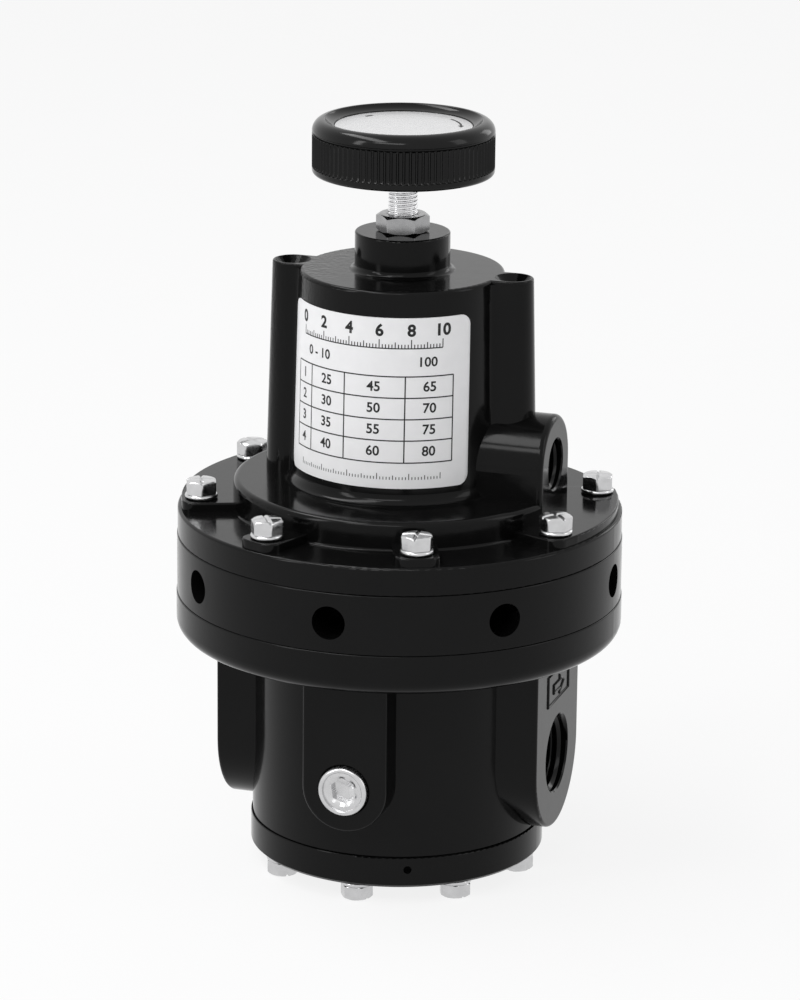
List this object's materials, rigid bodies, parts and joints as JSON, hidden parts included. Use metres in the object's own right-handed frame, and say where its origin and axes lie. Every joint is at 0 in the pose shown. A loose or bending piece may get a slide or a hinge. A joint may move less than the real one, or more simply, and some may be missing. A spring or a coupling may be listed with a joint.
{
  "type": "pneumatic reversing relay",
  "caption": "Pneumatic reversing relay with a round flanged housing, threaded ports, a vent ring and a hand knob that sets its range spring.",
  "frame": {"origin": "on the main axis, level with the lowest faces of the cap screw heads", "axes": "+Z along the main axis up to the knob, +X towards the outlet port and the signal port, -Y towards the front gauge port and the name plate"},
  "size_m": [0.1216, 0.1216, 0.2079],
  "materials": {
    "black_casting": "semi-gloss black paint on an aluminium casting",
    "knob_plastic": "gloss black moulded plastic",
    "disc_plastic": "pale satin plastic",
    "plate_metal": "white printed plate",
    "plated_steel": "bright zinc plate",
    "bare_aluminium": "machined",
    "spring_steel": "drawn wire",
    "valve_brass": "machined",
    "diaphragm_rubber": "matte moulded nitrile",
    "seal_rubber": "smooth nitrile"
  },
  "bodies": {
    "housing": {"body": "black_casting", "bonnet": "black_casting", "spacer_ring": "black_casting", "bottom_cap": "black_casting", "nameplate": "plate_metal", "bonnet_screws": "plated_steel", "bonnet_washers": "plated_steel", "cap_screws": "plated_steel", "cap_washers": "plated_steel", "front_gauge_plug": "plated_steel", "back_gauge_plug": "plated_steel", "control_diaphragm": "diaphragm_rubber", "diaphragm_carrier": "bare_aluminium", "signal_diaphragm": "diaphragm_rubber", "output_diaphragm": "diaphragm_rubber", "valve_seat": "valve_brass", "cap_o_ring": "seal_rubber", "valve_spring": "spring_steel"},
    "spring_seat": {"spring_button": "bare_aluminium"},
    "knob_and_screw": {"knob": "knob_plastic", "knob_disc": "disc_plastic", "adjusting_screw": "plated_steel"},
    "jam_nut": {"lock_nut": "plated_steel"},
    "poppet": {"supply_valve": "valve_brass", "valve_face": "diaphragm_rubber", "valve_o_ring": "seal_rubber"},
    "diaphragm_hub": {"control_plate": "bare_aluminium", "hub_spacer": "bare_aluminium", "vent_spool": "bare_aluminium", "relief_stem": "valve_brass", "stem_nut": "plated_steel", "range_spring": "spring_steel"}
  },
  "joints": [
    {"name": "screw_advance", "type": "slide", "parent": "housing", "child": "spring_seat", "axis": [0, 0, 1], "range_m": [-0.00847, 0.00317], "deforming": ["range_spring"]},
    {"name": "knob_turn", "type": "hinge", "parent": "spring_seat", "child": "knob_and_screw", "pos_m": [0, 0, 0.19], "axis": [0, 0, 1], "range_deg": [-2880, 1080]},
    {"name": "lock_nut_turn", "type": "hinge", "parent": "housing", "child": "jam_nut", "pos_m": [0, 0, 0.18], "axis": [0, 0, 1], "range_deg": [0, 90]},
    {"name": "supply_valve_open", "type": "slide", "parent": "housing", "child": "poppet", "axis": [0, 0, 1], "range_m": [-0.0012, 0], "stiffness_N_per_m": 2500, "springref_m": 0.003, "deforming": ["valve_spring", "control_diaphragm", "signal_diaphragm", "output_diaphragm"]},
    {"name": "relief_open", "type": "slide", "parent": "poppet", "child": "diaphragm_hub", "axis": [0, 0, 1], "range_m": [0, 0.0008], "stiffness_N_per_m": 1500, "springref_m": -0.004}
  ],
  "couplings": [
    {"joint": "screw_advance", "follows": "knob_turn", "m_per_rad": 0.00016844}
  ]
}
